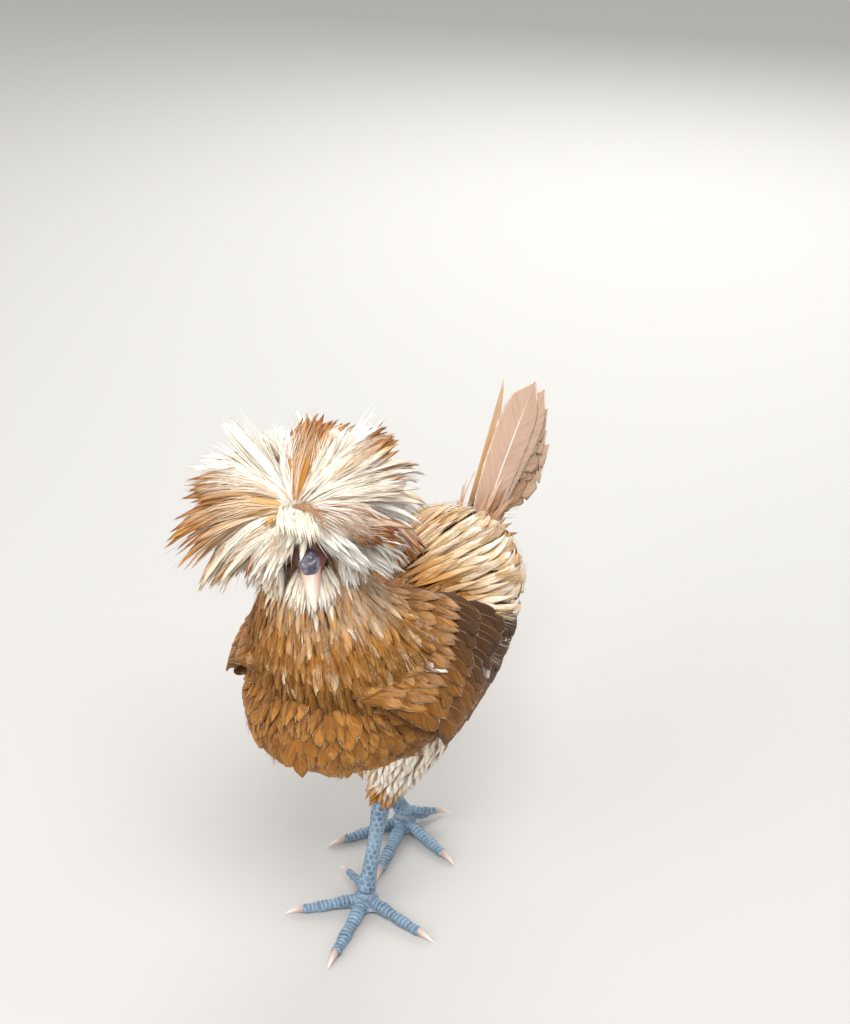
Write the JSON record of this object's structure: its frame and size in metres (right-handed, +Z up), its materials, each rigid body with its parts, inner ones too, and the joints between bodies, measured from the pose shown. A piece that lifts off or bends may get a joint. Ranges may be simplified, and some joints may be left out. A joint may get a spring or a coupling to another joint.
{
  "type": "polish crested chicken",
  "caption": "Standing bearded, crested cockerel in mid-step, head turned to its left: a still, life-size model that rests on its toes.",
  "frame": {"origin": "on the floor, under the middle of the bird's box", "axes": "+Z up, the bird faces -Y, and its own left side is +X"},
  "size_m": [0.1486, 0.3703, 0.3603],
  "materials": {
    "body_feather": "small overlapping ginger feathers with thin cream lacing, soft satin",
    "hackle_feather": "pointed ginger feathers with cream shafts, silky",
    "crest_feather": "long wispy cream feathers with ginger and rust strands, soft",
    "beard_feather": "short soft cream-grey feathers, matt",
    "tail_feather": "broad buff vanes with pale shafts and pale edges, satin",
    "wing_feather": "ginger-brown vanes with thin cream lacing, satin",
    "saddle_feather": "long narrow cream and orange feathers, silky",
    "thigh_feather": "cream down with orange at the hock, soft",
    "scale_skin": "slate-blue scales with paler edges, satin",
    "face_skin": "dark slate-purple skin, satin",
    "bill_horn": "pinkish horn with a paler tip, semi-gloss",
    "claw_horn": "pale pink horn, semi-gloss",
    "eye": "reddish bay iris and black pupil under a wet, clear cornea"
  },
  "bodies": {
    "root": {"beard": "beard_feather", "bill_lower": "bill_horn", "bill_upper": "bill_horn", "claw_hind_left": "claw_horn", "claw_hind_right": "claw_horn", "claw_inner_left": "claw_horn", "claw_inner_right": "claw_horn", "claw_middle_left": "claw_horn", "claw_middle_right": "claw_horn", "claw_outer_left": "claw_horn", "claw_outer_right": "claw_horn", "claw_upper_hind_left": "claw_horn", "claw_upper_hind_right": "claw_horn", "crest_back": "crest_feather", "crest_front": "crest_feather", "crest_left": "crest_feather", "crest_right": "crest_feather", "eye_left": "eye", "eye_right": "eye", "foot_left": "scale_skin", "foot_right": "scale_skin", "head": "face_skin", "muff_left": "beard_feather", "muff_right": "beard_feather", "neck": "hackle_feather", "nostril_base": "face_skin", "saddle": "saddle_feather", "shank_left": "scale_skin", "shank_right": "scale_skin", "tail": "tail_feather", "thigh_left": "thigh_feather", "thigh_right": "thigh_feather", "torso": "body_feather", "wing_left": "wing_feather", "wing_right": "wing_feather"}
  },
  "joints": []
}
